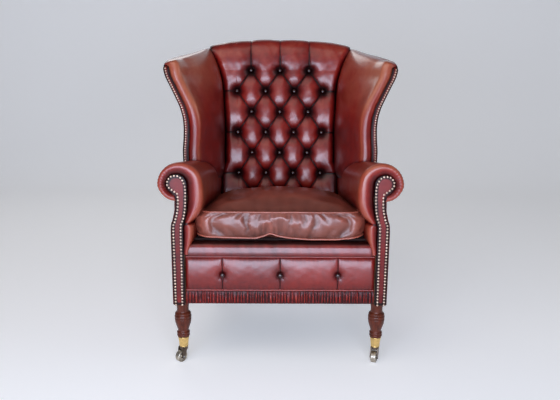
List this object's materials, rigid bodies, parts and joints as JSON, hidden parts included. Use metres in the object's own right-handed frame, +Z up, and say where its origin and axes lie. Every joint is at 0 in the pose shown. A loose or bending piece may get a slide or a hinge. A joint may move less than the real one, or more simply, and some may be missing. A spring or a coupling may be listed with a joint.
{
  "type": "wing chair",
  "caption": "Chesterfield wing chair with a deep-buttoned leather back, scroll arms, a loose seat cushion, turned front legs and brass-cupped castors.",
  "frame": {"origin": "on the floor, midway between the chair's sides and between the arm fronts and the top of the back", "axes": "+Z up, +X to the right as the chair is seen from the front, and the sitter faces -Y"},
  "size_m": [0.864, 0.7797, 1.1416],
  "materials": {
    "leather": "satin",
    "facing_leather": "satin",
    "button_leather": "satin",
    "cushion_leather": "satin",
    "frame_timber": "matte",
    "back_post_timber": "satin",
    "turned_leg": "gloss",
    "spring_steel": "satin",
    "platform_cloth": "matte",
    "dust_cloth": "matte",
    "castor_cup": "gloss",
    "castor_horn": "satin",
    "castor_wheel": "satin",
    "castor_axle": "satin"
  },
  "bodies": {
    "chair": {"front_rail": "frame_timber", "rear_rail": "frame_timber", "left_side_rail": "frame_timber", "right_side_rail": "frame_timber", "corner_blocks": "frame_timber", "front_left_leg": "turned_leg", "front_right_leg": "turned_leg", "left_back_post": "back_post_timber", "right_back_post": "back_post_timber", "crest_rail": "frame_timber", "left_arm_stump": "frame_timber", "right_arm_stump": "frame_timber", "left_arm_rail": "frame_timber", "right_arm_rail": "frame_timber", "left_wing_frame": "frame_timber", "right_wing_frame": "frame_timber", "seat_springs": "spring_steel", "seat_platform": "platform_cloth", "dust_cover": "dust_cloth", "inside_back": "leather", "back_buttons": "button_leather", "outside_back": "leather", "left_wing_pad": "leather", "right_wing_pad": "leather", "left_wing_outside": "leather", "right_wing_outside": "leather", "left_wing_facing": "facing_leather", "right_wing_facing": "facing_leather", "left_arm_pad": "leather", "right_arm_pad": "leather", "left_arm_outside": "leather", "right_arm_outside": "leather", "left_arm_facing": "facing_leather", "right_arm_facing": "facing_leather", "front_roll": "leather", "front_border": "leather", "border_buttons": "button_leather", "border_piping": "leather", "ruched_band": "leather", "front_left_cup": "castor_cup", "front_right_cup": "castor_cup", "rear_left_cup": "castor_cup", "rear_right_cup": "castor_cup"},
    "cushion": {"seat_cushion": "cushion_leather", "cushion_piping": "cushion_leather"},
    "front_left_castor_horn": {"front_left_horn": "castor_horn", "front_left_axle": "castor_axle"},
    "front_left_castor_wheel": {"front_left_wheel": "castor_wheel"},
    "front_right_castor_horn": {"front_right_horn": "castor_horn", "front_right_axle": "castor_axle"},
    "front_right_castor_wheel": {"front_right_wheel": "castor_wheel"},
    "rear_left_castor_horn": {"rear_left_horn": "castor_horn", "rear_left_axle": "castor_axle"},
    "rear_left_castor_wheel": {"rear_left_wheel": "castor_wheel"},
    "rear_right_castor_horn": {"rear_right_horn": "castor_horn", "rear_right_axle": "castor_axle"},
    "rear_right_castor_wheel": {"rear_right_wheel": "castor_wheel"}
  },
  "joints": [
    {"name": "cushion_lift_out", "type": "slide", "parent": "chair", "child": "cushion", "axis": [0, -1, 0], "range_m": [0, 0.35]},
    {"name": "front_left_swivel", "type": "hinge", "parent": "chair", "child": "front_left_castor_horn", "pos_m": [-0.341, -0.35, 0.05], "axis": [0, 0, 1], "continuous": true},
    {"name": "front_left_wheel_spin", "type": "hinge", "parent": "front_left_castor_horn", "child": "front_left_castor_wheel", "pos_m": [-0.34936, -0.35996, 0.021], "axis": [-0.766, 0.6428, 0], "continuous": true},
    {"name": "front_right_swivel", "type": "hinge", "parent": "chair", "child": "front_right_castor_horn", "pos_m": [0.341, -0.35, 0.05], "axis": [0, 0, 1], "continuous": true},
    {"name": "front_right_wheel_spin", "type": "hinge", "parent": "front_right_castor_horn", "child": "front_right_castor_wheel", "pos_m": [0.33655, -0.36222, 0.021], "axis": [-0.9397, 0.342, 0], "continuous": true},
    {"name": "rear_left_swivel", "type": "hinge", "parent": "chair", "child": "rear_left_castor_horn", "pos_m": [-0.275, 0.25, 0.05], "axis": [0, 0, 1], "continuous": true},
    {"name": "rear_left_wheel_spin", "type": "hinge", "parent": "rear_left_castor_horn", "child": "rear_left_castor_wheel", "pos_m": [-0.27945, 0.26222, 0.021], "axis": [0.9397, 0.342, 0], "continuous": true},
    {"name": "rear_right_swivel", "type": "hinge", "parent": "chair", "child": "rear_right_castor_horn", "pos_m": [0.275, 0.25, 0.05], "axis": [0, 0, 1], "continuous": true},
    {"name": "rear_right_wheel_spin", "type": "hinge", "parent": "rear_right_castor_horn", "child": "rear_right_castor_wheel", "pos_m": [0.27945, 0.26222, 0.021], "axis": [0.9397, -0.342, 0], "continuous": true}
  ]
}
